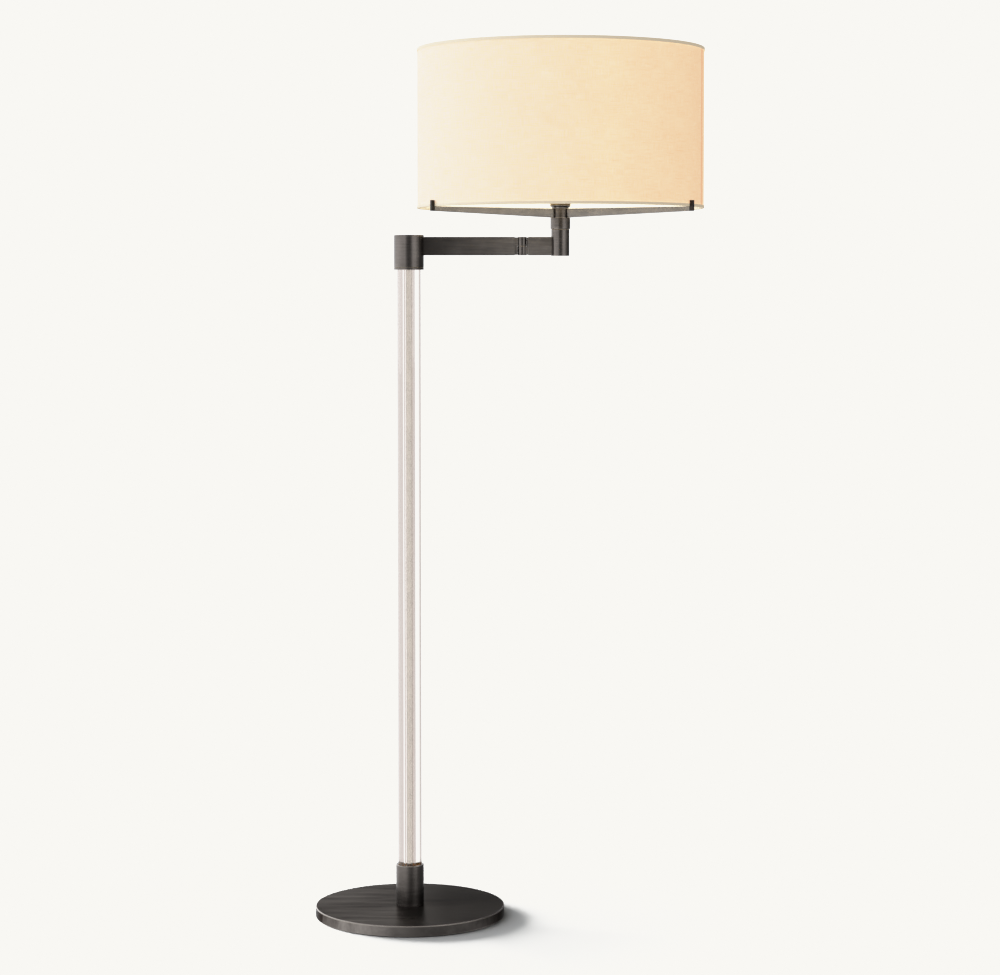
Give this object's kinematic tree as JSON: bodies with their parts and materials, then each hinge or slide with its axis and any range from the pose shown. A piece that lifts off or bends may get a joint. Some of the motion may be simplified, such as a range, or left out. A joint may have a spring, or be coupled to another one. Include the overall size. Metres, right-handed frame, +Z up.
{
  "type": "adjustable arm floor lamp",
  "caption": "Floor lamp with a round weighted base, clear glass column, jointed swing arm and a drum shade resting on three hooked arms.",
  "frame": {"origin": "on the column's axis at the underside of the felt pad, where the lamp stands on the floor", "axes": "+Z up along the column; +X from the column towards the elbow and the shade with the arm straight; +Y towards the back, where the cord inlet is"},
  "size_m": [0.6237, 0.4649, 1.3944],
  "materials": {
    "bronze": "oil-rubbed bronze, brushed by hand",
    "raw_brass": "raw brass, turned",
    "steel": "zinc-plated steel",
    "nickel": "bright nickel plate",
    "cast_iron": "as cast",
    "felt": "pressed wool felt",
    "rubber": "moulded rubber",
    "clear_glass": "clear, polished",
    "phenolic": "dark brown phenolic",
    "fibre_liner": "vulcanised fibre",
    "wire_jacket": "vinyl insulation",
    "opal_glass": "frosted inside, lit warm white",
    "linen": "plain-weave linen, ivory",
    "shade_liner": "translucent styrene liner",
    "trim_tape": "linen rolled over the hoops"
  },
  "bodies": {
    "stand": {"felt_pad": "felt", "base_weight": "cast_iron", "base_cover": "bronze", "cord_inlet_bush": "rubber", "base_washer": "steel", "base_nut": "steel", "column_collar": "bronze", "lower_gasket": "rubber", "glass_column": "clear_glass", "wire_conduit": "nickel", "upper_gasket": "rubber", "column_cap": "bronze", "cap_washer": "steel", "cap_nut": "steel", "hub_thrust_washer": "raw_brass", "column_wire": "wire_jacket"},
    "inner_arm": {"arm_hub": "bronze", "hub_cap": "bronze", "hub_stop_screw": "steel", "inner_arm_bar": "bronze", "inner_knuckle": "bronze", "elbow_pin": "steel", "elbow_nut": "steel", "elbow_top_cap": "bronze", "inner_arm_wire": "wire_jacket"},
    "outer_arm": {"elbow_washer": "raw_brass", "outer_knuckle": "bronze", "elbow_bottom_cap": "bronze", "outer_arm_bar": "bronze", "head_sleeve": "bronze", "sleeve_plug": "bronze", "head_washer": "raw_brass", "head_stop_screw": "steel", "outer_arm_wire": "wire_jacket"},
    "head": {"socket_cup": "bronze", "head_nut": "steel", "holder_nipple": "steel", "shade_arm_back": "bronze", "shade_arm_left": "bronze", "shade_arm_right": "bronze", "holder_shell": "raw_brass", "holder_nut": "steel", "switch_block": "phenolic", "centre_contact": "raw_brass", "holder_liner": "fibre_liner", "screw_shell": "raw_brass", "bulb_cap": "nickel", "bulb_globe": "opal_glass", "bulb_filament": "steel", "shade_linen": "linen", "shade_liner": "shade_liner", "shade_top_hoop": "steel", "shade_bottom_hoop": "steel", "shade_top_trim": "trim_tape", "shade_bottom_trim": "trim_tape", "head_wire": "wire_jacket"},
    "switch": {"switch_knob": "phenolic"}
  },
  "joints": [
    {"name": "column_swivel", "type": "hinge", "parent": "stand", "child": "inner_arm", "pos_m": [0, 0, 1.08], "axis": [0, 0, 1], "range_deg": [-170, 170]},
    {"name": "elbow", "type": "hinge", "parent": "inner_arm", "child": "outer_arm", "pos_m": [0.181, 0, 1.081], "axis": [0, 0, 1], "range_deg": [-130, 130]},
    {"name": "head_swivel", "type": "hinge", "parent": "outer_arm", "child": "head", "pos_m": [0.242, 0, 1.108], "axis": [0, 0, 1], "range_deg": [-160, 160]},
    {"name": "switch_turn", "type": "hinge", "parent": "head", "child": "switch", "pos_m": [0.242, -0.02, 1.1622], "axis": [0, -1, 0], "continuous": true}
  ]
}
